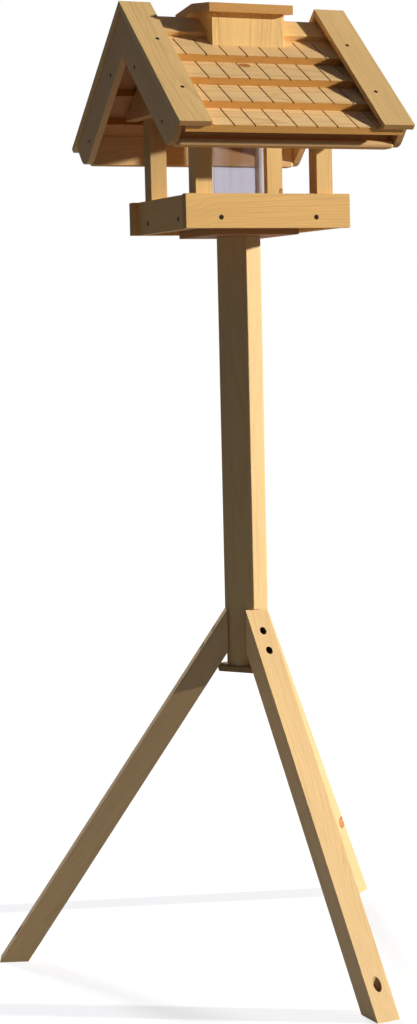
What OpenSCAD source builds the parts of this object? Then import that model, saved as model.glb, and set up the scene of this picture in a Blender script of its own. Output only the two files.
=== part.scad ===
// Bird feeder on a tripod stand, natural planed pine, in millimetres.
// X runs along the ridge, the front is -Y, Z is up; the ground is z = 0 under the post's centre line.

/* [Stand] */
// width across flats of the octagonal post
post_flat = 62; // [50:1:80]
// turn of the post's flats about its centre line, degrees
post_turn = 17.5; // [0:0.5:45]
// side of the square legs
leg_size = 35; // [28:1:45]
// lean of the legs from upright, degrees
leg_lean = 34; // [20:0.5:45]
// height of the tips of the legs on the post
leg_tip_z = 517; // [400:1:700]
// depth of the milled flats of the post that carry the legs
leg_let = 1.5; // [0.5:0.5:6]
// length of the post below the heels of the legs
post_below = 21.4; // [5:0.1:50]
// directions of the left, front and back legs, degrees from +X
leg_turns = [159.5, 274, 38.5];
// diameter of the upright ground peg hole in each foot
peg_d = 12; // [6:1:16]
// height at which the peg hole comes out of the sloping face
peg_out_z = 43; // [35:1:70]
// diameter of the sunk screw holes in each leg
screw_d = 10; // [6:0.5:14]
// depths of the two screw holes below the leg's tip
screw_drops = [29.5, 56];
// wood left between a screw's head and the post
screw_wood = 12; // [8:1:16]
// overhang of the plate under the post past the post's flats
base_past = 4; // [1:0.5:10]
// play between that plate's cut corners and the legs
base_play = 0.5; // [0.2:0.1:3]
// thickness of the plate under the post
base_t = 8; // [4:1:12]

/* [Tray] */
// length of the front and back rails
tray_w = 254; // [220:1:300]
// depth over the front and back rails
tray_d = 216; // [190:1:250]
// height of the lower edge of the rails above the ground
tray_z = 1066; // [900:1:1300]
// height of the rails
rail_h = 48; // [36:1:70]
// thickness of the rails
rail_t = 12; // [8:1:18]
// length by which front and back rails run past the side rails
rail_past = 9; // [0:1:20]
// height of the floor's underside above the lower edge of the rails
floor_up = 6; // [0:1:12]
// thickness of the floor
floor_t = 18; // [10:1:24]
// side of the square plate between floor and post
plate_w = 132; // [90:1:180]
// thickness of that plate
plate_t = 13; // [10:1:24]

/* [House] */
// side of the square corner posts
stud = 25; // [16:1:32]
// thickness of the gable panels
gable_t = 18; // [10:1:24]
// height of the gable panels
gable_h = 107.5; // [80:0.5:130]
// outer diameter of the clear feed tube
tube_d = 78; // [50:1:95]
// wall of the clear feed tube
tube_wall = 2.5; // [1.5:0.5:4]
// width of the feed notches at the tube's foot
notch_w = 28; // [15:1:35]
// height of the feed notches
notch_h = 16; // [8:1:20]

/* [Roof] */
// pitch of the verge planks, degrees
pitch = 41.4; // [30:0.2:50]
// height of the ridge of the verge planks above the rails' lower edge
ridge_up = 323; // [280:1:380]
// length of the roof over the verge planks
roof_l = 353.5; // [320:0.5:420]
// width of the verge planks
verge_w = 48; // [30:0.5:60]
// thickness of the verge planks
verge_t = 8; // [5:1:12]
// length of the verge planks down the slope
verge_l = 284; // [270:1:300]
// thickness of the lapped roof boards
board_t = 11; // [8:1:16]
// width of the lapped roof boards
board_w = 84; // [70:1:86]
// play between one lapped board and the next
lap_gap = 0.2; // [0.1:0.1:1]
// distance down the slope from one board's lower edge to the next
board_step = 55.2; // [48:0.2:62]
// distance of the first lapped boards' upper edges from the middle
ridge_play = 2; // [0.5:0.5:10]
// thickness of the ridge boards
ridge_t = 8; // [5:0.5:12]
// distance up the first lapped board to the ridge boards' lower edge
ridge_lap = 62.7; // [50:0.1:70]
// height of the verge planks' ridge above the meeting line of the ridge boards' undersides
ridge_drop = 29.3; // [22:0.1:40]
// spacing of the saw grooves along the ridge, staggered by half from row to row
groove_step = 31; // [24:0.2:40]
// shift of the groove pattern along the ridge
groove_shift = -1; // [-7:0.5:7]
// width of the saw grooves
groove_w = 2; // [1:0.2:4]
// depth of the saw grooves
groove_depth = 2.4; // [1:0.2:4]
// width of the barge boards
barge_w = 50; // [36:1:60]
// thickness of the barge boards
barge_t = 10; // [8:0.5:18]
// length of the barge boards down the slope
barge_l = 272; // [250:1:280]
// radius of the rounded lower corner of the barge boards
barge_r = 22; // [8:1:30]
// overhang of the verge planks past the barge boards
verge_past = 3; // [0:0.5:8]
// thickness of the eave battens from front to back
batten_t = 25; // [18:0.5:32]
// setback of the eave battens' front behind the lowest boards' lower edge
batten_back = 24; // [4:0.5:40]
// depth of the eave battens' underside below that edge
batten_drop = 16; // [8:0.5:24]
// height of the eave battens' front below their rebate
batten_h = 11.5; // [6:0.5:14]
// depth of the rebate along the upper front of the eave battens
rebate = 12; // [4:0.5:16]

/* [Chimney] */
// play between the tube and the chimney's left and right boards
tube_play_x = 7; // [1:0.5:15]
// play between the tube and the chimney's front and back boards
tube_play_y = 1; // [0.5:0.5:10]
// thickness of the chimney boards
chimney_t = 10; // [8:1:14]
// height of the chimney's top above the ridge boards
chimney_up = 0.5; // [0.3:0.1:20]
// length by which the chimney boards come out under the roof boards
chimney_out = 7; // [2:1:30]
// overhang of the lid along the ridge
lid_past_x = 9.5; // [4:0.5:20]
// overhang of the lid across the ridge
lid_past_y = 12; // [4:0.5:20]
// thickness of the lid, measured upright
lid_edge = 13; // [6:0.5:18]
// rise of the lid's low ridge above its edges
lid_rise = 7; // [2:1:16]
// height of the block under the lid that sits in the chimney
lid_block_h = 12; // [6:1:20]
// play round that block
lid_play = 5; // [2:0.5:8]
// play under the lid where it rests on the chimney
lid_gap = 0.2; // [0.1:0.1:1]

/* [Hidden] */
$fn = 64;
// overrun of every cut past the face it opens
over = 5;
front = -1;
back = 1;
left = -1;
right = 1;
half = 1 / 2;
octagon_sides = 8;
leg_count = len(leg_turns);
row_count = 4;
full_turn = 360;
half_flat_turn = full_turn * half / octagon_sides;
pine = [0.87, 0.70, 0.45];
pine_dark = [0.76, 0.56, 0.32];
clear = [0.85, 0.88, 0.95, 0.4];

// stand
post_top_z = tray_z + floor_up - plate_t;
post_r = post_flat * half / cos(half_flat_turn);
leg_seat_r = post_flat * half - leg_let;
leg_cut_h = leg_size / sin(leg_lean);
leg_run = tan(leg_lean);
leg_foot_out = leg_seat_r + leg_tip_z * leg_run;
leg_foot_in = leg_seat_r + (leg_tip_z - leg_cut_h) * leg_run;
peg_r = leg_seat_r + (leg_tip_z - peg_out_z) * leg_run;
post_foot_z = leg_tip_z - leg_cut_h - post_below;
base_side = post_flat * half + base_past;
base_corner = leg_foot_in - post_foot_z * leg_run - base_play;
base_turns = [between(leg_turns[0], leg_turns[1]), between(leg_turns[1], leg_turns[2] + full_turn),
  between(leg_turns[2], leg_turns[0])];

// tray
side_out_x = tray_w * half - rail_past;
floor_x = side_out_x - rail_t;
floor_y = tray_d * half - rail_t;
floor_z = tray_z + floor_up;
floor_top_z = floor_z + floor_t;

// roof, in distances down the slope and depths below the verge planks' upper face
apex_z = tray_z + ridge_up;
tilt = asin((board_t + lap_gap) / board_step);
rest_n = verge_t + board_w * sin(tilt) + board_t * cos(tilt);
rest_z = apex_z - rest_n / cos(pitch);
first_s = (ridge_play + rest_n * sin(pitch)) / cos(pitch) + board_w * cos(tilt) - board_t * sin(tilt);
board_x = roof_l * half - verge_past - barge_t;
gable_z = rest_z - gable_h;
gable_y = (rest_z - gable_z) / tan(pitch);
eave_pt = board_pt(back, row_count, 0, board_t);
ridge_low = board_pt(back, 1, ridge_lap, -lap_gap);
ridge_z = apex_z - ridge_drop;
ridge_slope = atan((ridge_z - ridge_low[1]) / ridge_low[0]);
ridge_top_z = ridge_z + ridge_t / cos(ridge_slope);
groove_count = floor((board_x - abs(groove_shift) - groove_w) / groove_step - half);

// chimney
chimney_top_z = ridge_top_z + chimney_up;
chimney_in_x = tube_d * half + tube_play_x;
chimney_in_y = tube_d * half + tube_play_y;
chimney_x = chimney_in_x + chimney_t;
chimney_y = chimney_in_y + chimney_t;
chimney_z = rest_at(chimney_y) - chimney_out;
lid_x = chimney_x + lid_past_x;
lid_y = chimney_y + lid_past_y;
lid_z = chimney_top_z + lid_gap - lid_rise * lid_past_y / lid_y;
tube_top_z = chimney_top_z - lid_block_h - lid_play;

// point of the roof's cross section: s down the slope, n below the planks' upper face
function roof_pt(side, s, n) =
  [side * (s * cos(pitch) - n * sin(pitch)), apex_z - s * sin(pitch) - n * cos(pitch)];
// point of a lapped board: i its row, a up the board from its lower edge, b below its upper face
function board_pt(side, i, a, b) = roof_pt(side,
  first_s + (i - 1) * board_step - a * cos(tilt) + b * sin(tilt),
  verge_t + a * sin(tilt) + b * cos(tilt));
// direction halfway between two directions
function between(a, b) = (a + b) * half;
// point at a given distance from the centre line in each of two directions
function corner_pt(a, a_out, b, b_out) =
  [a_out * sin(b) - b_out * sin(a), b_out * cos(a) - a_out * cos(b)] / sin(b - a);
// shift of the grooves of a row: half a spacing more on every other row
function row_shift(i) = groove_shift + (i % 2) * groove_step * half;
// height of the boards' resting plane at a distance from the middle
function rest_at(y) = rest_z - y * tan(pitch);
// height just under the lowest boards at a distance from the middle
function under_at(y) =
  eave_pt[1] + (eave_pt[0] - y) * tan(pitch - tilt) - lap_gap / cos(pitch - tilt);
// height of the lid's underside at a distance from the middle
function lid_at(y) = lid_z + lid_rise * (1 - y / lid_y);

// section given as [y, z] points, drawn along X about a middle
module along_x(length, mid) {
  translate([mid, 0, 0])
    rotate([90, 0, 90])
      linear_extrude(height = length, center = true)
        children();
}

module block(x0, x1, y0, y1, z0, z1) {
  translate([x0, y0, z0])
    cube([x1 - x0, y1 - y0, z1 - z0]);
}

module post() {
  color(pine)
    difference() {
      translate([0, 0, post_foot_z])
        rotate([0, 0, post_turn + half_flat_turn])
          cylinder(r = post_r, h = post_top_z - post_foot_z, $fn = octagon_sides);
      for (turn = leg_turns)
        rotate([0, 0, turn])
          block(leg_seat_r, post_flat, -leg_size * half, leg_size * half,
            post_foot_z - over, leg_tip_z);
    }
}

module leg(turn) {
  color(pine)
    rotate([0, 0, turn])
      difference() {
        rotate([90, 0, 0])
          linear_extrude(height = leg_size, center = true)
            polygon([[leg_seat_r, leg_tip_z], [leg_foot_out, 0], [leg_foot_in, 0],
              [leg_seat_r, leg_tip_z - leg_cut_h]]);
        translate([peg_r, 0, -over])
          cylinder(d = peg_d, h = peg_out_z + leg_size + over);
        for (drop = screw_drops)
          translate([leg_seat_r + screw_wood, 0, leg_tip_z - drop])
            rotate([0, 90, 0])
              cylinder(d = screw_d, h = leg_cut_h);
      }
}

module leg_left() { leg(leg_turns[0]); }
module leg_front() { leg(leg_turns[1]); }
module leg_back() { leg(leg_turns[2]); }

module post_base_plate() {
  color(pine_dark)
    translate([0, 0, post_foot_z - base_t])
      linear_extrude(height = base_t)
        polygon([for (i = [0 : leg_count - 1]) each [
          corner_pt(base_turns[(i + leg_count - 1) % leg_count], base_side, leg_turns[i], base_corner),
          corner_pt(leg_turns[i], base_corner, base_turns[i], base_side)]]);
}

module tray_mount_plate() {
  color(pine_dark)
    block(-plate_w * half, plate_w * half, -plate_w * half, plate_w * half, post_top_z, floor_z);
}

module tray_floor() {
  color(pine)
    block(-floor_x, floor_x, -floor_y, floor_y, floor_z, floor_top_z);
}

module long_rail(side) {
  mid_y = side * (floor_y + rail_t * half);
  color(pine)
    block(-tray_w * half, tray_w * half, mid_y - rail_t * half, mid_y + rail_t * half,
      tray_z, tray_z + rail_h);
}

module tray_rail_front() { long_rail(front); }
module tray_rail_back() { long_rail(back); }

module side_rail(side) {
  mid_x = side * (floor_x + rail_t * half);
  color(pine)
    block(mid_x - rail_t * half, mid_x + rail_t * half, -floor_y, floor_y, tray_z, tray_z + rail_h);
}

module tray_rail_left() { side_rail(left); }
module tray_rail_right() { side_rail(right); }

module corner_post(side_x, side_y) {
  color(pine)
    along_x(stud, side_x * (floor_x - stud * half))
      polygon([[side_y * floor_y, floor_top_z], [side_y * (floor_y - stud), floor_top_z],
        [side_y * (floor_y - stud), rest_at(floor_y - stud)], [side_y * floor_y, rest_at(floor_y)]]);
}

module corner_post_front_left() { corner_post(left, front); }
module corner_post_front_right() { corner_post(right, front); }
module corner_post_back_left() { corner_post(left, back); }
module corner_post_back_right() { corner_post(right, back); }

module feed_tube() {
  color(clear)
    translate([0, 0, floor_top_z])
      difference() {
        cylinder(d = tube_d, h = tube_top_z - floor_top_z);
        translate([0, 0, -over])
          cylinder(d = tube_d - tube_wall - tube_wall, h = tube_top_z - floor_top_z + over + over);
        block(-notch_w * half, notch_w * half, -tube_d, tube_d, -over, notch_h);
        block(-tube_d, tube_d, -notch_w * half, notch_w * half, -over, notch_h);
      }
}

module gable_panel(side) {
  color(pine_dark)
    along_x(gable_t, side * (floor_x + gable_t * half))
      polygon([[-gable_y, gable_z], [gable_y, gable_z], [0, rest_z]]);
}

module gable_panel_left() { gable_panel(left); }
module gable_panel_right() { gable_panel(right); }

// space that the chimney takes out of the roof
module chimney_space() {
  block(-chimney_x, chimney_x, -chimney_y, chimney_y, chimney_z - over, chimney_top_z + over);
}

module roof_board(side, i) {
  color(pine)
    difference() {
      along_x(board_x + board_x, 0)
        polygon([board_pt(side, i, 0, 0), board_pt(side, i, board_w, 0),
          board_pt(side, i, board_w, board_t), board_pt(side, i, 0, board_t)]);
      for (k = [-groove_count : groove_count])
        along_x(groove_w, k * groove_step + row_shift(i))
          polygon([board_pt(side, i, -over, -over), board_pt(side, i, board_step, -over),
            board_pt(side, i, board_step, groove_depth), board_pt(side, i, -over, groove_depth)]);
      chimney_space();
    }
}

module roof_board_front_1() { roof_board(front, 1); }
module roof_board_front_2() { roof_board(front, 2); }
module roof_board_front_3() { roof_board(front, 3); }
module roof_board_front_4() { roof_board(front, 4); }
module roof_board_back_1() { roof_board(back, 1); }
module roof_board_back_2() { roof_board(back, 2); }
module roof_board_back_3() { roof_board(back, 3); }
module roof_board_back_4() { roof_board(back, 4); }

module ridge_board(side_x, side_y) {
  low = [side_y * ridge_low[0], ridge_low[1]];
  length = board_x - chimney_x;
  color(pine)
    along_x(length, side_x * (board_x - length * half))
      polygon([low, [0, ridge_z], [0, ridge_top_z],
        low + ridge_t * [side_y * sin(ridge_slope), cos(ridge_slope)]]);
}

module ridge_board_front_left() { ridge_board(left, front); }
module ridge_board_front_right() { ridge_board(right, front); }
module ridge_board_back_left() { ridge_board(left, back); }
module ridge_board_back_right() { ridge_board(right, back); }

module eave_batten(side) {
  front_y = eave_pt[0] - batten_back;
  rebate_y = front_y - rebate;
  inner_y = front_y - batten_t;
  low_z = eave_pt[1] - batten_drop;
  shelf_z = low_z + batten_h;
  color(pine_dark)
    along_x(board_x + board_x, 0)
      polygon([[side * front_y, low_z], [side * front_y, shelf_z], [side * rebate_y, shelf_z],
        [side * rebate_y, under_at(rebate_y)], [side * inner_y, under_at(inner_y)],
        [side * inner_y, low_z]]);
}

module eave_batten_front() { eave_batten(front); }
module eave_batten_back() { eave_batten(back); }

module barge_board(side_x, side_y) {
  inner = verge_t + barge_w;
  turn_s = barge_l - barge_r;
  turn_n = inner - barge_r;
  color(pine)
    along_x(barge_t, side_x * (board_x + barge_t * half))
      difference() {
        polygon([[0, apex_z - verge_t / cos(pitch)], roof_pt(side_y, barge_l, verge_t),
          roof_pt(side_y, barge_l, inner), [0, apex_z - inner / cos(pitch)]]);
        difference() {
          polygon([roof_pt(side_y, turn_s, turn_n), roof_pt(side_y, barge_l + over, turn_n),
            roof_pt(side_y, barge_l + over, inner + over), roof_pt(side_y, turn_s, inner + over)]);
          translate(roof_pt(side_y, turn_s, turn_n))
            circle(r = barge_r);
        }
      }
}

module barge_board_front_left() { barge_board(left, front); }
module barge_board_front_right() { barge_board(right, front); }
module barge_board_back_left() { barge_board(left, back); }
module barge_board_back_right() { barge_board(right, back); }

module verge_plank(side_x, side_y) {
  color(pine)
    along_x(verge_w, side_x * (roof_l * half - verge_w * half))
      polygon([[0, apex_z], roof_pt(side_y, verge_l, 0), roof_pt(side_y, verge_l, verge_t),
        [0, apex_z - verge_t / cos(pitch)]]);
}

module verge_plank_front_left() { verge_plank(left, front); }
module verge_plank_front_right() { verge_plank(right, front); }
module verge_plank_back_left() { verge_plank(left, back); }
module verge_plank_back_right() { verge_plank(right, back); }

module chimney_face(side) {
  mid_y = side * (chimney_in_y + chimney_t * half);
  color(pine)
    block(-chimney_in_x, chimney_in_x, mid_y - chimney_t * half, mid_y + chimney_t * half,
      chimney_z, chimney_top_z);
}

module chimney_front() { chimney_face(front); }
module chimney_back() { chimney_face(back); }

module chimney_side(side) {
  color(pine)
    along_x(chimney_t, side * (chimney_in_x + chimney_t * half))
      polygon([[-chimney_y, chimney_z], [chimney_y, chimney_z], [chimney_y, chimney_top_z],
        [0, lid_at(0) - lid_gap], [-chimney_y, chimney_top_z]]);
}

module chimney_left() { chimney_side(left); }
module chimney_right() { chimney_side(right); }

module chimney_lid() {
  block_x = chimney_in_x - lid_play;
  block_y = chimney_in_y - lid_play;
  block_z = chimney_top_z - lid_block_h;
  side_z = lid_at(block_y) + lid_edge * half;
  color(pine_dark)
    union() {
      along_x(lid_x + lid_x, 0)
        polygon([[-lid_y, lid_z], [0, lid_at(0)], [lid_y, lid_z], [lid_y, lid_z + lid_edge],
          [0, lid_at(0) + lid_edge], [-lid_y, lid_z + lid_edge]]);
      along_x(block_x + block_x, 0)
        polygon([[-block_y, block_z], [block_y, block_z], [block_y, side_z],
          [0, lid_at(0) + lid_edge * half], [-block_y, side_z]]);
    }
}

post();
leg_left();
leg_front();
leg_back();
post_base_plate();
tray_mount_plate();
tray_floor();
tray_rail_front();
tray_rail_back();
tray_rail_left();
tray_rail_right();
corner_post_front_left();
corner_post_front_right();
corner_post_back_left();
corner_post_back_right();
feed_tube();
gable_panel_left();
gable_panel_right();
roof_board_front_1();
roof_board_front_2();
roof_board_front_3();
roof_board_front_4();
roof_board_back_1();
roof_board_back_2();
roof_board_back_3();
roof_board_back_4();
ridge_board_front_left();
ridge_board_front_right();
ridge_board_back_left();
ridge_board_back_right();
eave_batten_front();
eave_batten_back();
barge_board_front_left();
barge_board_front_right();
barge_board_back_left();
barge_board_back_right();
verge_plank_front_left();
verge_plank_front_right();
verge_plank_back_left();
verge_plank_back_right();
chimney_front();
chimney_back();
chimney_left();
chimney_right();
chimney_lid();
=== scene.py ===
# %% [markdown]
# A garden bird feeder: a gabled house of bare planed pine on an octagonal post with three legs.
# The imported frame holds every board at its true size. This lesson gives the boards their grain,
# puts in the screws, and sets up the light and the camera. Nothing of the frame is moved.

# %% Load the frame
import math
import random
import bmesh
import bpy
from mathutils import Matrix, Vector
from mathutils.geometry import tessellate_polygon


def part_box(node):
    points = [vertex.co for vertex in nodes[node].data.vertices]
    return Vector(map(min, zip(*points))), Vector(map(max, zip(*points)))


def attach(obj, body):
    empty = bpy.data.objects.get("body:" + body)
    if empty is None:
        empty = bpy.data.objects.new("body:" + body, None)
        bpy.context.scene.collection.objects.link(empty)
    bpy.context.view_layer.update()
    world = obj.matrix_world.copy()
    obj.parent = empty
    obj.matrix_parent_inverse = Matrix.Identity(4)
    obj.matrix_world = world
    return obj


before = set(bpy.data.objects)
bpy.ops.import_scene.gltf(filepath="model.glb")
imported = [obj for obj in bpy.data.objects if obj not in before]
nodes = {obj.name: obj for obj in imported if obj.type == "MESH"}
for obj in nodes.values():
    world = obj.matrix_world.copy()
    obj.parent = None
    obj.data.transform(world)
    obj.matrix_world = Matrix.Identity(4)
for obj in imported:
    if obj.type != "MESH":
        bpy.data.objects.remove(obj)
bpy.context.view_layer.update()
MM = 0.001
ALONG, DEEP, UPRIGHT = Vector((1, 0, 0)), Vector((0, 1, 0)), Vector((0, 0, 1))

# %% [markdown]
# The camera stands to the left of the feeder's front, a little below the tray, so the tray's
# underside shows. Its place and turn were fitted to the edges of the boards in the photograph,
# which also shows that it was held about one degree off level. Blender's aiming helpers keep a
# camera level, so the three axes of its turn are worked out here one by one.

# %% Camera
EYE = Vector((-1.242, -2.777, 0.925))
HEADING, PITCH, ROLL = (math.radians(a) for a in (23.1, -5.0, -1.34))
FOCAL_PX, PHOTO_H_PX, SENSOR_MM = 2078.6, 1024, 36.0

look = Vector((math.sin(HEADING) * math.cos(PITCH), math.cos(HEADING) * math.cos(PITCH),
               math.sin(PITCH)))
level = Vector((math.cos(HEADING), -math.sin(HEADING), 0.0))
upright = level.cross(look)
right = level * math.cos(ROLL) + upright * math.sin(ROLL)
up = upright * math.cos(ROLL) - level * math.sin(ROLL)

lens = bpy.data.cameras.new("camera")
lens.sensor_fit = "VERTICAL"
lens.sensor_height = SENSOR_MM
lens.lens = FOCAL_PX * SENSOR_MM / PHOTO_H_PX
camera = bpy.data.objects.new("camera", lens)
turn = Matrix((right, up, -look)).transposed().to_4x4()
camera.matrix_world = Matrix.Translation(EYE) @ turn
bpy.context.collection.objects.link(camera)
bpy.context.scene.camera = camera
print("lens mm", round(lens.lens, 1))

# %% [markdown]
# Four helpers serve every finish: one turns a written sRGB colour into the linear numbers that
# shaders use, one adds a node with its settings and links, one starts a material, and one puts a
# material on a piece.

# %% Helpers for finishes
def linear(code):
    parts = [int(code[i:i + 2], 16) / 255 for i in (1, 3, 5)]
    return [c / 12.92 if c <= 0.04045 else ((c + 0.055) / 1.055) ** 2.4 for c in parts] + [1.0]


def add(tree, kind, inputs=None, **settings):
    node = tree.nodes.new("ShaderNode" + kind)
    for name, value in settings.items():
        setattr(node, name, value)
    for socket, value in (inputs or {}).items():
        if isinstance(value, bpy.types.NodeSocket):
            tree.links.new(value, node.inputs[socket])
        else:
            node.inputs[socket].default_value = value
    return node


def finish(name):
    material = bpy.data.materials.new(name)
    material.use_nodes = True
    return material, material.node_tree, material.node_tree.nodes["Principled BSDF"]


def coat(piece, material):
    piece.data.materials.clear()
    piece.data.materials.append(material)


WHITE = linear("#FFFFFF")
print("white, linear", WHITE)

# %% [markdown]
# Bare pine is pale early wood with thin orange late-wood lines. No two boards are alike: fresh
# sapwood is nearly cream, and a planed face is smooth and clean. Rails, corner posts and chimney
# are golden partly by painted warm light, as if warm light were bounced up onto their upright
# faces. The barge boards, eave battens and gables are painted duller and browner as shade. Saw cuts
# are rougher and hold more dirt, so end grain and sawn edges are deeper browns. The undersides are
# rough and are also painted redder as shade, the bored holes are painted dark with the shade inside
# them, and a knot is deeper yet.

# %% Colours of the wood
PALE_WOOD = linear("#F1CC8C")
SAP_WOOD = linear("#FDD89C")
# WARM and GOLDEN are pine with painted warm light, as if warm light were bounced onto upright faces
WARM_WOOD_AND_WARM_LIGHT = linear("#FCD389")
GOLDEN_WOOD_AND_WARM_LIGHT = linear("#F5C577")
# DULL is pine darkened with painted shade, for the barge boards and eave battens
DULL_WOOD_AND_SHADE = linear("#E4BA80")
# BROWN is pine darkened with painted shade, for the gables under the roof
BROWN_WOOD_AND_SHADE = linear("#D2A066")
LATE_WOOD = linear("#D9A45C")
END_GRAIN = linear("#C08F52")
SAWN_EDGE = linear("#D99F50")
# rough-sawn wood with painted shade: used below, and on the tray plate all over as painted shade
ROUGH_AND_SHADED_UNDERSIDE = linear("#C58A52")
# bored holes: painted shade of the deep holes, over torn fibre
PEG_BORE_SHADE = linear("#B28F62")
SCREW_BORE_SHADE = linear("#6A4A28")
KNOT_HEART = linear("#C27E3E")
KNOT_RIM = linear("#6E4420")
print("late wood over early", [round(b / a, 2) for a, b in zip(PALE_WOOD, LATE_WOOD)][:3])

# %% [markdown]
# Grain could be drawn as a stretched noise on each face, but then a board's faces and ends do not
# belong together. A real board is cut out of a round trunk, so each one gets a place in a trunk
# of its own. The pith runs beside the board and leans a little, and every pattern is drawn in the
# trunk's coordinates, with x along the trunk. Rings that come to a face at a slant then make the
# long arches of flat-sawn pine by themselves, and the sawn ends show the rings.

# %% A board in its trunk
LEAN = 0.045  # at most, as a slope against the board's length
PITH_AWAY_MM = (24, 75)
TRUNK_M = 9


def in_its_trunk(grain, centre, dice, cut_from):
    lean = Vector([dice.uniform(-LEAN, LEAN) for _ in range(3)])
    spin = (grain + lean).normalized().rotation_difference(ALONG).to_matrix()
    turn, away = dice.uniform(0, 360), dice.uniform(*PITH_AWAY_MM)
    if cut_from:
        turn, away = cut_from
    turn, away = math.radians(turn), away * MM
    pith = Vector((dice.uniform(0, TRUNK_M), away * math.cos(turn), away * math.sin(turn)))
    return spin, pith - spin @ centre


def per_metre(along_mm, across_mm):
    return [1 / (size * MM) for size in (along_mm, across_mm, across_mm)]


print("a pattern of 100 by 5 mm, per metre", [round(v) for v in per_metre(100, 5)])

# %% [markdown]
# The distance from the pith, counted in rings, tells how far a point is through which year. Two
# noises keep this from looking turned on a lathe: a slow one lets the pith wander by some
# millimetres, and a fine one ripples each line. The rings are as wide as in fast-grown pine.

# %% Rings round the pith
RING_MM, WANDER_MM = 4.2, 16.0
SWAY_MM, RIPPLE_MM = (454.5, 142.9), (100, 6.25)  # along and across the grain
NOISE_MIDDLE, ACROSS = (0.5, 0.5, 0.5), (0.0, 1.0, 1.0)


def years_from_pith(tree, board):
    at = add(tree, "VectorMath", {0: board, 1: per_metre(*SWAY_MM)}, operation="MULTIPLY")
    sway = add(tree, "TexNoise", {"Vector": at.outputs[0], "Scale": 1.0, "Detail": 2.0})
    shift = add(tree, "VectorMath", {0: sway.outputs["Color"], 1: NOISE_MIDDLE},
                operation="SUBTRACT")
    swayed = add(tree, "VectorMath", {0: shift.outputs[0], 1: [2 * WANDER_MM * MM] * 3, 2: board},
                 operation="MULTIPLY_ADD")
    across = add(tree, "VectorMath", {0: swayed.outputs[0], 1: ACROSS}, operation="MULTIPLY")
    away = add(tree, "VectorMath", {0: across.outputs[0]}, operation="LENGTH")
    at = add(tree, "VectorMath", {0: board, 1: per_metre(*RIPPLE_MM)}, operation="MULTIPLY")
    ripple = add(tree, "TexNoise", {"Vector": at.outputs[0], "Scale": 1.0, "Detail": 3.0})
    return add(tree, "Math", {0: away.outputs["Value"], 1: 1 / (RING_MM * MM),
                              2: ripple.outputs["Fac"]}, operation="MULTIPLY_ADD").outputs[0]


print("rings in 100 mm", round(100 / RING_MM, 1))

# %% [markdown]
# A knot is a branch that the board was cut across. The grain flows round it, so near a knot some
# years are added to the count, which pushes the lines aside. Its heart is brown with a darker
# rim. A knot may also lie hidden behind the face and only bend the lines.

# %% Knots
KNOT_STRETCH = (0.72, 1.0, 1.0)  # a knot is longer along the grain than across
KNOT_PUSH, KNOT_REACH = 3.4, 4  # in years, and in half widths of the knot
HEART_EDGE, RIM_FROM = 0.86, 0.6  # as shares of the half width


def bend_round_knots(tree, board, years, knots, spin, offset):
    heart = None
    for point, size, shown in knots:
        spot = spin @ (Vector(point) * MM) + offset
        away = add(tree, "VectorMath", {0: board, 1: spot}, operation="SUBTRACT")
        oval = add(tree, "VectorMath", {0: away.outputs[0], 1: KNOT_STRETCH}, operation="MULTIPLY")
        gap = add(tree, "VectorMath", {0: oval.outputs[0]}, operation="LENGTH").outputs["Value"]
        push = add(tree, "MapRange", {"Value": gap, "From Min": size * MM,
                                      "From Max": KNOT_REACH * size * MM,
                                      "To Min": KNOT_PUSH, "To Max": 0.0},
                   interpolation_type="SMOOTHSTEP")
        years = add(tree, "Math", {0: years, 1: push.outputs[0]}, operation="ADD").outputs[0]
        if shown:
            heart = add(tree, "Math", {0: gap, 1: 1 / (size * MM)}, operation="MULTIPLY").outputs[0]
    return years, heart


def knot_heart(tree, wood, heart):
    inside = add(tree, "MapRange", {"Value": heart, "From Min": 1.0, "From Max": HEART_EDGE})
    rim = add(tree, "MapRange", {"Value": heart, "From Min": RIM_FROM, "From Max": 1.0})
    eye = add(tree, "MixRGB", {"Fac": rim.outputs[0], "Color1": KNOT_HEART, "Color2": KNOT_RIM})
    return add(tree, "MixRGB", {"Fac": inside.outputs[0], "Color1": wood,
                                "Color2": eye.outputs[0]}).outputs[0]


print("a knot bends the grain up to", KNOT_REACH, "half widths away")

# %% [markdown]
# Within a year the wood darkens slowly, then ends in a sharp late-wood line, as growth stops in
# autumn. Good and poor summers differ, so each year draws its line with a strength of its own.
# The figure of a whole board may be faint, as on the posts and legs.

# %% Late-wood lines
# how far through the year, and how much of the late wood's colour there is by then
LATE_STOPS = ((0.0, 0.0), (0.45, 0.12), (0.8, 0.75), (0.9, 1.0), (1.0, 0.0))
FAINTEST_YEAR, STRONGEST_YEAR = 0.12, 0.62


def late_lines(tree, years, figure):
    season = add(tree, "Math", {0: years}, operation="FRACT")
    late = add(tree, "ValToRGB", {"Fac": season.outputs[0]})
    stops = late.color_ramp.elements
    for at, _ in LATE_STOPS[1:-1]:
        stops.new(at)
    for stop, (_, value) in zip(stops, LATE_STOPS):
        stop.color = (value, value, value, 1.0)
    year = add(tree, "Math", {0: years}, operation="FLOOR")
    summer = add(tree, "TexWhiteNoise", {"W": year.outputs[0]}, noise_dimensions="1D")
    weight = add(tree, "MapRange", {"Value": summer.outputs["Value"],
                                    "To Min": FAINTEST_YEAR * figure,
                                    "To Max": STRONGEST_YEAR * figure})
    return add(tree, "Math", {0: late.outputs["Color"], 1: weight.outputs[0]},
               operation="MULTIPLY").outputs[0]


print("late wood starts at", LATE_STOPS[1][0], "of a ring")

# %% [markdown]
# Two more noises vary how light the wood is: clouds as large as a hand, and streaks along the
# fibres. A pine fibre is only some hundredths of a millimetre wide, which would not show, so the
# streaks are drawn about as wide as a bundle of fibres that tears out in one splinter.

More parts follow.
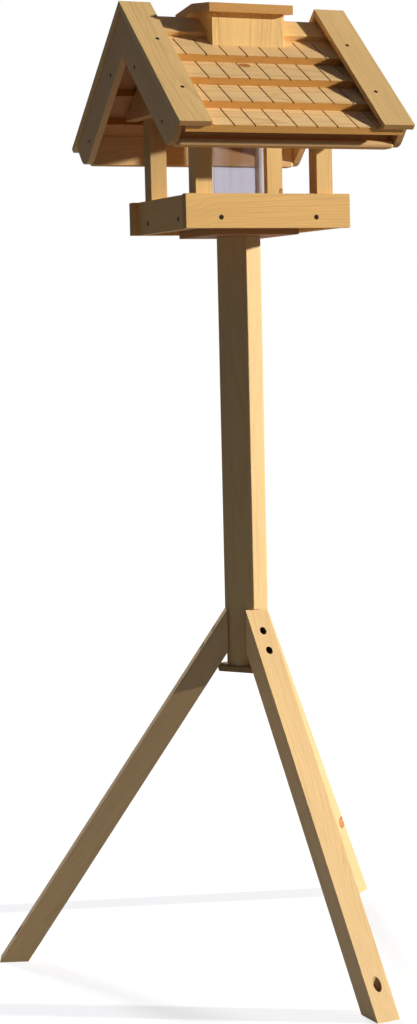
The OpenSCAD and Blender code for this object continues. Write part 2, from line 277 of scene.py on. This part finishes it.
# %% Clouds and fibres
CLOUD_MM, FIBRE_MM = (333.3, 45.45), (71.43, 1.4286)  # along and across the grain
CLOUD_SHADE, FIBRE_SHADE = (0.91, 1.06), (0.93, 1.04)
CLOUD_SPAN, FIBRE_SPAN = (0.25, 0.75), (0.3, 0.7)  # what each noise mostly keeps to


def clouds_and_fibres(tree, board, tone):
    at = add(tree, "VectorMath", {0: board, 1: per_metre(*FIBRE_MM)}, operation="MULTIPLY")
    fibre = add(tree, "TexNoise", {"Vector": at.outputs[0], "Scale": 1.0, "Detail": 4.0})
    at = add(tree, "VectorMath", {0: board, 1: per_metre(*CLOUD_MM)}, operation="MULTIPLY")
    cloud = add(tree, "TexNoise", {"Vector": at.outputs[0], "Scale": 1.0, "Detail": 2.0})
    shade = add(tree, "MapRange", {"Value": cloud.outputs["Fac"], "From Min": CLOUD_SPAN[0],
                                   "From Max": CLOUD_SPAN[1], "To Min": CLOUD_SHADE[0] * tone,
                                   "To Max": CLOUD_SHADE[1] * tone})
    streak = add(tree, "MapRange", {"Value": fibre.outputs["Fac"], "From Min": FIBRE_SPAN[0],
                                    "From Max": FIBRE_SPAN[1], "To Min": FIBRE_SHADE[0],
                                    "To Max": FIBRE_SHADE[1]})
    light = add(tree, "Math", {0: shade.outputs[0], 1: streak.outputs[0]}, operation="MULTIPLY")
    return light.outputs[0], fibre.outputs["Fac"]


print("fibre streaks mm", FIBRE_MM)

# %% [markdown]
# Faces that the planer did not touch are told by the way they face: ends look along the grain,
# sawn edges and undersides look their own ways. Bored holes are told by the distance from the
# drill's path. So one material serves the whole board, and no face of the frame has to be picked.

# %% Sawn faces and bored holes
TURNED_FROM, TURNED_FULLY = 0.72, 0.85  # cosine of the angle between face and way
BORE_SOFT_MM = 0.3


def sawn_faces(tree, wood, light, normal, cuts):
    for way, colour in cuts:
        facing = add(tree, "VectorMath", {0: normal, 1: way}, operation="DOT_PRODUCT")
        turned = add(tree, "MapRange", {"Value": facing.outputs["Value"], "From Min": TURNED_FROM,
                                        "From Max": TURNED_FULLY})
        rough = add(tree, "VectorMath", {0: colour[:3], "Scale": light}, operation="SCALE")
        wood = add(tree, "MixRGB", {"Fac": turned.outputs[0], "Color1": wood,
                                    "Color2": rough.outputs[0]}).outputs[0]
    return wood


# the dark colour of a bored hole is painted shade, for the shade deep inside it
def bored_holes(tree, wood, place, bores):
    for point, way, size, colour in bores:
        from_point = add(tree, "VectorMath", {0: place, 1: point}, operation="SUBTRACT")
        beside = add(tree, "VectorMath", {0: from_point.outputs[0], 1: way},
                     operation="CROSS_PRODUCT")
        gap = add(tree, "VectorMath", {0: beside.outputs[0]}, operation="LENGTH")
        inside = add(tree, "MapRange", {"Value": gap.outputs["Value"],
                                        "From Min": (size + BORE_SOFT_MM) * MM,
                                        "From Max": size * MM})
        wood = add(tree, "MixRGB", {"Fac": inside.outputs[0], "Color1": wood,
                                    "Color2": colour}).outputs[0]
    return wood


print("a face is sawn within", round(math.degrees(math.acos(TURNED_FULLY))), "degrees of its way")

# %% [markdown]
# Planed pine puts these together. The planer leaves the hard late wood a little proud and a
# little shinier than the soft wood between, which gives the eye a faint relief along the grain.
# It is drawn some times deeper than a planer leaves it, because it would not show otherwise.

# %% Planed pine
PINE_IOR, SOFT_ROUGHNESS, HARD_ROUGHNESS = 1.45, 0.62, 0.5
RELIEF_MM, RELIEF_STRENGTH, LATE_RELIEF = 0.5, 0.3, 0.6


def planed_pine(name, grain, centre, seed, early, tone, figure, knots, cuts, bores, cut_from):
    material, tree, shader = finish(name)
    grain = grain.normalized()
    spin, offset = in_its_trunk(grain, centre, random.Random(seed), cut_from)
    coords = add(tree, "TexCoord").outputs
    board = add(tree, "Mapping", {"Vector": coords["Object"], "Location": offset,
                                  "Rotation": spin.to_euler()}).outputs[0]
    years = years_from_pith(tree, board)
    years, heart = bend_round_knots(tree, board, years, knots, spin, offset)
    lines = late_lines(tree, years, figure)
    light, fibre = clouds_and_fibres(tree, board, tone)

    wood = add(tree, "MixRGB", {"Fac": lines, "Color1": early, "Color2": LATE_WOOD}).outputs[0]
    wood = add(tree, "VectorMath", {0: wood, "Scale": light}, operation="SCALE").outputs[0]
    ends = [(grain, END_GRAIN), (-grain, END_GRAIN)]
    wood = sawn_faces(tree, wood, light, coords["Normal"], ends + cuts)
    wood = bored_holes(tree, wood, coords["Object"], bores)
    if heart is not None:
        wood = knot_heart(tree, wood, heart)

    relief = add(tree, "Math", {0: lines, 1: LATE_RELIEF, 2: fibre}, operation="MULTIPLY_ADD")
    bump = add(tree, "Bump", {"Height": relief.outputs[0], "Strength": RELIEF_STRENGTH,
                              "Distance": RELIEF_MM * MM})
    rough = add(tree, "MapRange", {"Value": lines, "To Min": SOFT_ROUGHNESS,
                                   "To Max": HARD_ROUGHNESS})
    tree.links.new(wood, shader.inputs["Base Color"])
    tree.links.new(rough.outputs[0], shader.inputs["Roughness"])
    tree.links.new(bump.outputs[0], shader.inputs["Normal"])
    shader.inputs["IOR"].default_value = PINE_IOR
    return material


print("relief mm", RELIEF_MM)

# %% [markdown]
# Which way the grain runs follows from how each piece was cut: along every post, rail and board,
# down the slope on the barge boards and verge planks, and down each leg.

# %% Grain of every board
def slope_of(node):
    low, high = (Vector(v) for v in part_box(node))
    size = high - low
    side = -1 if low.y + high.y < 0 else 1
    return Vector((0, side * size.y, -size.z))


def leg_of(node):
    low, high = (Vector(v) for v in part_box(node))
    middle = (low + high) / 2
    return Vector((middle.x * 2, middle.y * 2, -high.z))


GRAINS = {
    "post": UPRIGHT, "post_base": ALONG, "leg": leg_of, "tray_mount": ALONG, "tray_floor": ALONG,
    "tray_rail_front": ALONG, "tray_rail_back": ALONG, "tray_rail_left": DEEP,
    "tray_rail_right": DEEP, "corner_post": UPRIGHT, "gable": DEEP, "roof_board": ALONG,
    "ridge_board": ALONG, "eave": ALONG, "barge": slope_of, "verge": slope_of,
    "chimney": UPRIGHT, "chimney_lid": ALONG,
}


def grain_of(name):
    rule = GRAINS[max((kind for kind in GRAINS if name.startswith(kind)), key=len)]
    return rule(name) if callable(rule) else rule


print("front leg runs", tuple(round(v, 2) for v in grain_of("leg_front").normalized()))

# %% [markdown]
# What sets single boards apart is taken from how they look on the real feeder: the knots, the
# bend in the front rail's grain, and set tints and tones. Many of these are painted light and
# shade: the golden rails, corner posts and chimney carry painted warm light; the brown gables, the
# duller barge boards and eave battens, the tray plate, the darker post and its base plate, the dark
# left leg, the darker back leg and the back-left corner post, darkened for the tube's shadow, carry
# painted shade. All other boards differ only by chance, each by a fixed draw of its own.

# %% Knots, tints and tones
# place in mm, half width in mm, and whether its heart shows
KNOTS = {
    "leg_back": [((231.2, 161.6, 133.0), 8.5, True)],
    "corner_post_back_right": [((103.5, 71.0, 1129.0), 4.0, True)],
    "roof_board_front_2": [((-21.6, -82.3, 1293.5), 6.5, True)],
    "tray_rail_front": [((-136.0, -108.0, 1088.0), 11.0, False)],
}
# where in the trunk a board was cut, as turn in degrees and distance from the pith in mm
CUT_FROM = {"tray_rail_front": (84.0, 62.0)}
# the golden and warm tints are painted warm light; the dull, brown and underside tints are painted
# shade
TINTS_AND_PAINTED_LIGHT = {
    "tray_rail": GOLDEN_WOOD_AND_WARM_LIGHT, "corner_post": WARM_WOOD_AND_WARM_LIGHT, "chimney": WARM_WOOD_AND_WARM_LIGHT,
    "roof_board": SAP_WOOD, "leg": SAP_WOOD, "barge": DULL_WOOD_AND_SHADE, "eave": DULL_WOOD_AND_SHADE,
    "gable": BROWN_WOOD_AND_SHADE, "tray_mount": ROUGH_AND_SHADED_UNDERSIDE,
}
# tones below 1 for the post, base plate, left and back legs and back-left corner post are painted
# shade
TONES_AND_PAINTED_SHADE = {
    "post": 0.9, "post_base_plate": 0.55, "leg_left": 0.72, "leg_back": 0.76,
    "corner_post_back_left": 0.66, "roof_board_front_4": 1.08, "ridge_board_front_right": 1.08,
}
TONE_BY_CHANCE = (0.95, 1.03)
FAINT, FAINT_FIGURE = ("corner_post", "post", "leg"), 0.5


def of_kind(name, table, otherwise):
    return next((value for kind, value in table.items() if name.startswith(kind)), otherwise)


print("boards with knots", sorted(KNOTS))

# %% [markdown]
# The narrow sides of the roof boards, the lid and the eave battens are sawn. They are found by
# area: the broad faces are planed, and the sides that are square to them and to the grain are
# the sawn ones. Roof boards, tray floor and tray plate are left rough below, and the faces that
# look down also get a redder brown that is painted shade, which makes the inside of the roof
# darker.

# %% Sawn sides
SAWN_KINDS = ("roof_board", "chimney_lid", "eave")
ROUGH_AND_SHADED_BELOW = ("roof_board", "tray_floor", "tray_mount")
END_FROM = 0.3  # a face that looks further along the grain than this is an end


def narrow_side(piece, grain):
    areas = {}
    for face in piece.data.polygons:
        if abs(face.normal.dot(grain)) < END_FROM:
            way = tuple(round(abs(v), 2) for v in face.normal)
            area, _ = areas.get(way, (0.0, None))
            areas[way] = (area + face.area, face.normal.copy())
    broad = max(areas.values(), key=lambda found: found[0])[1]
    return grain.cross(broad).normalized()


def cuts_of(name, grain):
    cuts = []
    if name.startswith(SAWN_KINDS):
        edge = narrow_side(nodes[name], grain)
        cuts += [(edge, SAWN_EDGE), (-edge, SAWN_EDGE)]
    if name.startswith(ROUGH_AND_SHADED_BELOW):
        # faces that look down get the rough, redder brown that is partly painted shade
        cuts.append((-UPRIGHT, ROUGH_AND_SHADED_UNDERSIDE))
    return cuts


print("boards with sawn sides", sum(name.startswith(SAWN_KINDS) for name in nodes))

# %% [markdown]
# Each leg has two screw holes at its top, bored inwards, and an upright peg hole near its foot.
# The frame has the holes themselves. Their walls are torn fibre, and the deep shade inside them
# is painted into their colour, so they are dark.

# %% Holes in the legs
LEG_TURNS = {"leg_left": 159.5, "leg_front": 274.0, "leg_back": 38.5}  # degrees round the post
LEG_SCREW_Z, SCREW_BORE_MM = (487.5, 461.0), 5.0
PEG_AT_MM, PEG_BORE_MM = 349.2, 6.0  # how far out from the post's axis, and radius


def bores_of(name):
    if name not in LEG_TURNS:
        return []
    turn = math.radians(LEG_TURNS[name])
    out = Vector((math.cos(turn), math.sin(turn), 0))
    pegs = [(out * PEG_AT_MM * MM, UPRIGHT, PEG_BORE_MM, PEG_BORE_SHADE)]
    return pegs + [(UPRIGHT * z * MM, out, SCREW_BORE_MM, SCREW_BORE_SHADE) for z in LEG_SCREW_Z]


print("holes in a leg", len(bores_of("leg_front")))

# %% [markdown]
# A small rounding of all edges stands for the sanding that takes the splinters off. On the roof
# boards it is finer, so that the saw grooves stay as narrow as the blade that cut them, and the
# eave battens are planed much rounder. It is a bevel modifier, because the frame's meshes are
# not to be changed. A weld before it joins doubled corners, and weighted normals after it keep
# the broad faces flat to the light.

# %% Eased edges
WELD_MM, EASE_MM, EASES_MM = 0.02, 0.9, {"roof_board": 0.3, "eave": 5.0}
EASE_STEPS, ROUND_STEPS, ROUND_FROM_MM = 2, 5, 2
EASE_ANGLE, FULL_WEIGHT = math.radians(35), 100


def ease_edges(piece, width_mm):
    weld = piece.modifiers.new("weld", "WELD")
    weld.merge_threshold = WELD_MM * MM
    ease = piece.modifiers.new("eased_edges", "BEVEL")
    ease.width = width_mm * MM
    ease.segments = EASE_STEPS if width_mm < ROUND_FROM_MM else ROUND_STEPS
    ease.limit_method = "ANGLE"
    ease.angle_limit = EASE_ANGLE
    flat = piece.modifiers.new("flat_faces", "WEIGHTED_NORMAL")
    flat.weight = FULL_WEIGHT


print("eased by mm", EASE_MM, EASES_MM)

# %% [markdown]
# Now every board gets its wood. The boards are numbered in the order of their names, and the
# number seeds what is left to chance, so that each run draws the same grain.

# %% Dress the boards
for number, name in enumerate(sorted(nodes)):
    if name == "feed_tube":
        continue
    grain = grain_of(name)
    low, high = (Vector(v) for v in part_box(name))
    wood = planed_pine(
        "planed_pine_" + name, grain, (low + high) / 2, number,
        early=of_kind(name, TINTS_AND_PAINTED_LIGHT, PALE_WOOD),
        tone=TONES_AND_PAINTED_SHADE.get(name) or random.Random(number).uniform(*TONE_BY_CHANCE),
        figure=FAINT_FIGURE if name.startswith(FAINT) else 1.0,
        knots=KNOTS.get(name, ()), cuts=cuts_of(name, grain), bores=bores_of(name),
        cut_from=CUT_FROM.get(name))
    coat(nodes[name], wood)
    ease_edges(nodes[name], of_kind(name, EASES_MM, EASE_MM))
print("boards with grain", len(nodes) - 1)

# %% [markdown]
# The feed tube is clear acrylic, extruded and polished: it bends what is behind it at its edges
# and has a faint cool cast where the wall is seen end on. Light that falls through a clear wall
# is slow to work out, and the renderer would give the tube a solid shadow instead, so the tube
# casts none, and light that bounces between the boards passes it by.

# %% Extruded acrylic
ACRYLIC_IOR, ACRYLIC_ROUGHNESS = 1.49, 0.03

material, tree, shader = finish("extruded_acrylic")
shader.inputs["Base Color"].default_value = linear("#DCD9E0")
shader.inputs["Roughness"].default_value = ACRYLIC_ROUGHNESS
shader.inputs["IOR"].default_value = ACRYLIC_IOR
shader.inputs["Transmission Weight"].default_value = 1.0
tube = nodes["feed_tube"]
coat(tube, material)
tube.visible_shadow = False
tube.visible_diffuse = False
print("tube", tube.name)

# %% [markdown]
# The screws are countersunk wood screws of blackened steel. The blacking is an oxide that wears
# unevenly, so the metal is nearly black and glints in spots. Round each head lies a narrow ring
# of crushed fibres, where the screw drew itself into the wood; its dark brown is also painted
# shade, the shadow gap of a sink that the boards do not have. Spots and crumbs are finer on real
# screws and are drawn at about a millimetre, so that they show.

# %% Blackened steel, and crushed fibre with painted shade
STEEL_SPOT_MM, STEEL_ROUGHNESS = 1.2, (0.32, 0.55)
CRUMB_MM, CRUMB_ROUGHNESS = 0.8, 0.85

steel, tree, shader = finish("blackened_steel")
coords = add(tree, "TexCoord").outputs
spots = add(tree, "TexNoise", {"Vector": coords["Object"], "Scale": 1 / (STEEL_SPOT_MM * MM),
                               "Detail": 3.0}).outputs["Fac"]
tint = add(tree, "MixRGB", {"Fac": spots, "Color1": linear("#1B1816"),
                            "Color2": linear("#3A342E")})
wear = add(tree, "MapRange", {"Value": spots, "To Min": STEEL_ROUGHNESS[0],
                              "To Max": STEEL_ROUGHNESS[1]})
tree.links.new(tint.outputs[0], shader.inputs["Base Color"])
tree.links.new(wear.outputs[0], shader.inputs["Roughness"])
shader.inputs["Metallic"].default_value = 1.0

fibre_and_painted_shade, tree, shader = finish("crushed_fibre_and_painted_shade")
coords = add(tree, "TexCoord").outputs
crumbs = add(tree, "TexNoise", {"Vector": coords["Object"], "Scale": 1 / (CRUMB_MM * MM),
                                "Detail": 2.0}).outputs["Fac"]
tint = add(tree, "MixRGB", {"Fac": crumbs, "Color1": linear("#5E3C1C"),
                            "Color2": linear("#A87842")})
tree.links.new(tint.outputs[0], shader.inputs["Base Color"])
shader.inputs["Roughness"].default_value = CRUMB_ROUGHNESS
print("screw finishes", steel.name, fibre_and_painted_shade.name)

# %% [markdown]
# A flat dark disc would do for a head from afar, but the cross recess catches the light, so each
# head is cut in mesh code out of loops of points: the ring of crushed fibre with painted shade, a
# rounded rim, a face with a cross-shaped opening, and the walls and floor of the recess. A disc
# closes it below, so that the head is a closed solid. Two outlines come first, both centred on
# the screw's axis.

# %% Outlines of a head
HEAD_MM, PROUD_MM, RIM_POINTS = 3.5, 0.7, 24  # radius, and height over the board
ARM_MM, ARM_HALF_MM, ARM_TAPER = 2.1, 0.5, 0.8  # an arm of the cross gets narrower outwards
QUARTERS = ((1, 0), (0, 1), (-1, 0), (0, -1))


def circle(radius, height):
    turns = [math.tau * k / RIM_POINTS for k in range(RIM_POINTS)]
    return [Vector((radius * math.cos(a), radius * math.sin(a), height)) for a in turns]


def cross(arm, half, height):
    quarter = [(arm, -half * ARM_TAPER), (arm, half * ARM_TAPER), (half, half)]
    return [Vector((x * c - y * s, x * s + y * c, height)) for c, s in QUARTERS for x, y in quarter]


print("points on rim and recess", RIM_POINTS, len(cross(ARM_MM, ARM_HALF_MM, PROUD_MM)))

# %% [markdown]
# The head stands just clear of the board, because the frame's boards have no sinks; in the legs
# it lies at the bottom of a bored hole. A larger screw is the same head grown as a whole.

# %% Cut one head
CRUSH_STEPS_MM = ((0.7, 0.02), (0.35, 0.14), (0.0, 0.05))  # past the rim, and up
RIM_SHARES = ((0.97, 0.55), (0.9, 0.9), (0.8, 1.0))  # of the head's radius and height
FLOOR_MM, FLOOR_ARM, FLOOR_HALF = 0.08, 0.8, 0.7  # the recess is smaller at its floor
STEEL_FACE, FIBRE_AND_SHADE_FACE = 0, 1


def head_on(mesh, place, out, radius):
    grow = radius / HEAD_MM
    turn = UPRIGHT.rotation_difference(Vector(out)).to_matrix().to_4x4()
    seat = Matrix.Translation(Vector(place) * MM) @ turn

    def loop(points):
        return [mesh.verts.new(seat @ (p * grow * MM)) for p in points]

    def wall(first, second, kind):
        for k in range(len(first)):
            n = (k + 1) % len(first)
            mesh.faces.new((first[k], first[n], second[n], second[k])).material_index = kind

    def fill(points, loops, kind):
        for corners in tessellate_polygon(points):
            mesh.faces.new([loops[k] for k in corners]).material_index = kind

    # the ring's dark fibre colour is partly painted shade, the shadow gap round a sunk head
    ring = [loop(circle(HEAD_MM + past, height)) for past, height in CRUSH_STEPS_MM]
    for first, second in zip(ring, ring[1:]):
        wall(first, second, FIBRE_AND_SHADE_FACE)
    mesh.faces.new(ring[0]).material_index = FIBRE_AND_SHADE_FACE

    rims = [circle(HEAD_MM * wide, PROUD_MM * high) for wide, high in RIM_SHARES]
    edge = [ring[-1]] + [loop(points) for points in rims]
    for first, second in zip(edge, edge[1:]):
        wall(first, second, STEEL_FACE)

    recess = cross(ARM_MM, ARM_HALF_MM, PROUD_MM)
    bottom = cross(ARM_MM * FLOOR_ARM, ARM_HALF_MM * FLOOR_HALF, FLOOR_MM)
    opening, ground = loop(recess), loop(bottom)
    fill([rims[-1], recess], edge[-1] + opening, STEEL_FACE)
    wall(opening, ground, STEEL_FACE)
    fill([bottom], ground, FIBRE_AND_SHADE_FACE)


def screws(name, heads, radius):
    mesh = bmesh.new()
    for place, out in heads:
        head_on(mesh, place, out, radius)
    bmesh.ops.recalc_face_normals(mesh, faces=mesh.faces)
    data = bpy.data.meshes.new(name)
    mesh.to_mesh(data)
    mesh.free()
    for material in (steel, fibre_and_painted_shade):
        data.materials.append(material)
    piece = bpy.data.objects.new(name, data)
    bpy.context.collection.objects.link(piece)
    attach(piece, "feeder")
    print(name, "heads", len(heads), "faces", len(data.polygons))


# %% [markdown]
# Where the screws sit was measured on the sides that the photograph shows and is repeated on the
# others. The tray's come first: two in each rail, on the rail's outer face. Places are in mm.

# %% Screws in the tray
RAIL_Z, LONG_RAIL_X, SIDE_RAIL_Y, RAIL_HEAD_MM = 1081.0, 73.5, 58.0, 3.0
SIDES = (-1, 1)


def edge_of(node, axis, side):
    low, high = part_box(node)
    return (high if side > 0 else low)[axis] / MM


tray = [((x * LONG_RAIL_X, edge_of(node, 1, side), RAIL_Z), (0, side, 0))
        for node, side in (("tray_rail_front", -1), ("tray_rail_back", 1)) for x in SIDES]
tray += [((edge_of(node, 0, side), y * SIDE_RAIL_Y, RAIL_Z), (side, 0, 0))
         for node, side in (("tray_rail_left", -1), ("tray_rail_right", 1)) for y in SIDES]
screws("tray_screws", tray, RAIL_HEAD_MM)

# %% [markdown]
# On the roof there are two through each verge plank into the boards below, and two in each barge
# board. Their places are measured down the slope from the roof's highest edge, and inwards from
# the planks' upper face, and one helper turns that into a point.

# %% Screws in the roof
ROOF_PITCH, APEX_Z, ROOF_HEAD_MM = math.radians(41.4), 1389.0, 2.5
PLANK_X, PLANK_DOWN, BARGE_DOWN, BARGE_IN = 147.0, (92.0, 206.0), (100.0, 228.0), 42.0


def on_slope(x, side, down, inward):
    y = side * (down * math.cos(ROOF_PITCH) - inward * math.sin(ROOF_PITCH))
    return x, y, APEX_Z - down * math.sin(ROOF_PITCH) - inward * math.cos(ROOF_PITCH)


planks = [(on_slope(x * PLANK_X, side, down, 0),
           (0, side * math.sin(ROOF_PITCH), math.cos(ROOF_PITCH)))
          for x in SIDES for side in SIDES for down in PLANK_DOWN]
barge_x = {-1: edge_of("barge_board_front_left", 0, -1),
           1: edge_of("barge_board_front_right", 0, 1)}
barges = [(on_slope(barge_x[x], side, down, BARGE_IN), (x, 0, 0))
          for x in SIDES for side in SIDES for down in BARGE_DOWN]
screws("plank_screws", planks, ROOF_HEAD_MM)
screws("barge_screws", barges, ROOF_HEAD_MM)

# %% [markdown]
# Each leg is held by two larger screws, which sit deep in the holes that are bored at its top.

# %% Screws in the legs
LEG_SCREW_R, LEG_HEAD_MM = 41.5, 4.3

legs = [((LEG_SCREW_R * math.cos(a), LEG_SCREW_R * math.sin(a), z), (math.cos(a), math.sin(a), 0))
        for a in map(math.radians, LEG_TURNS.values()) for z in LEG_SCREW_Z]
screws("leg_screws", legs, LEG_HEAD_MM)

# %% [markdown]
# The background is white by what the eye is shown, not by more light on the feeder. Light Path
# tells which kind of ray asks. The camera's own rays, and those that go through the tube, get
# white. A glossy ray gets a part of it, which is the sheen on the wood. Light that bounces from
# the boards gets none of it.

# %% White to the eye
SHEEN = 0.35


def white_to_the_eye(tree, path):
    direct = add(tree, "Math", {0: path["Is Glossy Ray"], 1: SHEEN, 2: path["Is Camera Ray"]},
                 operation="MULTIPLY_ADD")
    return add(tree, "Math", {0: direct.outputs[0], 1: path["Is Transmission Ray"]},
               operation="ADD").outputs[0]


print("sheen", SHEEN)

# %% [markdown]
# The floor is plain, pale and matt. Near the feeder it is pale to the lamps too: there it throws
# some light up under the tray and shows the shadow. Further out it is dim, so that it does not
# light the shaded faces from below, and there the glow that only the eye sees makes it white.

# %% Pale studio floor
FLOOR_M, PALE_TO_M, DIM_FROM_M = 14.0, 0.7, 2.1
NEAR_GLOW, FAR_GLOW, FLOOR_ROUGHNESS = 0.7, 0.97, 0.9

floor_mesh = bpy.data.meshes.new("floor")
corners = [(x * FLOOR_M, y * FLOOR_M, 0) for x, y in ((-1, -1), (1, -1), (1, 1), (-1, 1))]
floor_mesh.from_pydata(corners, [], [(0, 1, 2, 3)])
floor = bpy.data.objects.new("floor", floor_mesh)
bpy.context.collection.objects.link(floor)

material, tree, shader = finish("pale_studio_floor")
coords = add(tree, "TexCoord").outputs
away = add(tree, "VectorMath", {0: coords["Object"]}, operation="LENGTH").outputs["Value"]
fade = add(tree, "MapRange", {"Value": away, "From Min": PALE_TO_M, "From Max": DIM_FROM_M},
           interpolation_type="SMOOTHSTEP").outputs[0]
tint = add(tree, "MixRGB", {"Fac": fade, "Color1": linear("#BDBFC8"),
                            "Color2": linear("#3C3C40")})
glow = add(tree, "MapRange", {"Value": fade, "To Min": NEAR_GLOW, "To Max": FAR_GLOW})
shown = white_to_the_eye(tree, add(tree, "LightPath").outputs)
seen = add(tree, "Math", {0: shown, 1: glow.outputs[0]}, operation="MULTIPLY")
shader.inputs["Roughness"].default_value = FLOOR_ROUGHNESS
shader.inputs["Emission Color"].default_value = WHITE
tree.links.new(tint.outputs[0], shader.inputs["Base Color"])
tree.links.new(seen.outputs[0], shader.inputs["Emission Strength"])
coat(floor, material)
print("floor m", 2 * FLOOR_M)

# %% [markdown]
# A low warm key light from the right and a little in front reaches in under the roof and leaves
# the faces that are turned left in shade. A weaker, softer light from behind keeps the back,
# which the key light does not reach, from going dark. Both are suns, whose rays run parallel, so
# that the light is the same from top to bottom of so tall a piece.

# %% Lamps
def lamp(name, turn, rise, energy, softness, colour):
    turn, rise = math.radians(turn), math.radians(rise)
    way = Vector((math.cos(rise) * math.cos(turn), math.cos(rise) * math.sin(turn), math.sin(rise)))
    data = bpy.data.lights.new(name, "SUN")
    data.energy, data.angle, data.color = energy, math.radians(softness), colour
    light = bpy.data.objects.new(name, data)
    light.rotation_euler = way.to_track_quat("Z", "Y").to_euler()
    bpy.context.collection.objects.link(light)
    print(name, "from", tuple(round(v, 2) for v in way))


lamp("key", turn=-24, rise=12, energy=5.35, softness=2, colour=(1.0, 0.94, 0.84))
lamp("back_light", turn=88, rise=35, energy=1.5, softness=12, colour=(1.0, 0.97, 0.92))

# %% [markdown]
# The surround is white to the eye. On the boards it is a weak and slightly blue fill, as of a
# clear sky, against which the key light looks warm.

# %% White surround
FILL = 0.06

world = bpy.data.worlds.new("white_surround")
world.use_nodes = True
bpy.context.scene.world = world
tree = world.node_tree
path = add(tree, "LightPath").outputs
strength = add(tree, "MapRange", {"Value": white_to_the_eye(tree, path), "To Min": FILL,
                                  "To Max": 1.0})
sky = add(tree, "MixRGB", {"Fac": path["Is Diffuse Ray"], "Color1": WHITE,
                           "Color2": linear("#C3CFFF")})
back = tree.nodes["Background"]
tree.links.new(sky.outputs[0], back.inputs["Color"])
tree.links.new(strength.outputs[0], back.inputs["Strength"])
bpy.context.scene.view_settings.view_transform = "Standard"
print("surround", world.name, "fill", FILL)
